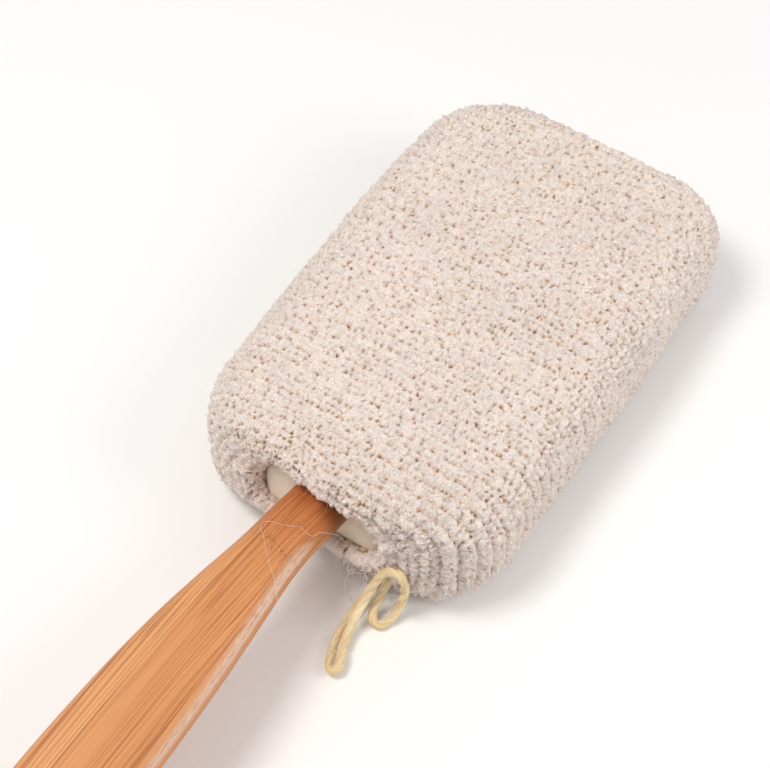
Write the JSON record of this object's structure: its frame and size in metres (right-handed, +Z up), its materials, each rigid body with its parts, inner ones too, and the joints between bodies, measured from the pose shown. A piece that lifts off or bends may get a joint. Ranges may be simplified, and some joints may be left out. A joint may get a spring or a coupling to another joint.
{
  "type": "back scrubber",
  "caption": "Long-handled back scrubber: bent bamboo handle, foam pad and a removable knitted bag cover drawn shut round the neck with twine.",
  "frame": {"origin": "middle of the underside's bounding box: the scrubber lies on the plane z = 0, on the pad's underside and the handle's end", "axes": "+X from the handle's end towards the pad, +Y across the pad, +Z up out of the pad's broad face; the twine hangs out on the -Y side"},
  "size_m": [0.4359, 0.1, 0.0385],
  "materials": {
    "bamboo": "bare, lightly oiled",
    "foam": "smooth skinned foam, cream",
    "glue": "dried adhesive, yellowed",
    "knit": "nubby knit, undyed",
    "twine": "twisted plant fibre, straw coloured"
  },
  "bodies": {
    "handle_and_pad": {"bamboo_handle": "bamboo", "foam_pad_upper": "foam", "foam_pad_lower": "foam", "pad_glue": "glue"},
    "cover": {"knit_cover": "knit", "drawcord": "twine", "drawcord_knot": "twine", "twine_loops": "twine"}
  },
  "joints": [
    {"name": "cover_pull_off", "type": "slide", "parent": "handle_and_pad", "child": "cover", "axis": [1, 0, 0], "range_m": [0, 0.18], "deforming": ["knit_cover", "drawcord", "drawcord_knot", "twine_loops"]}
  ]
}
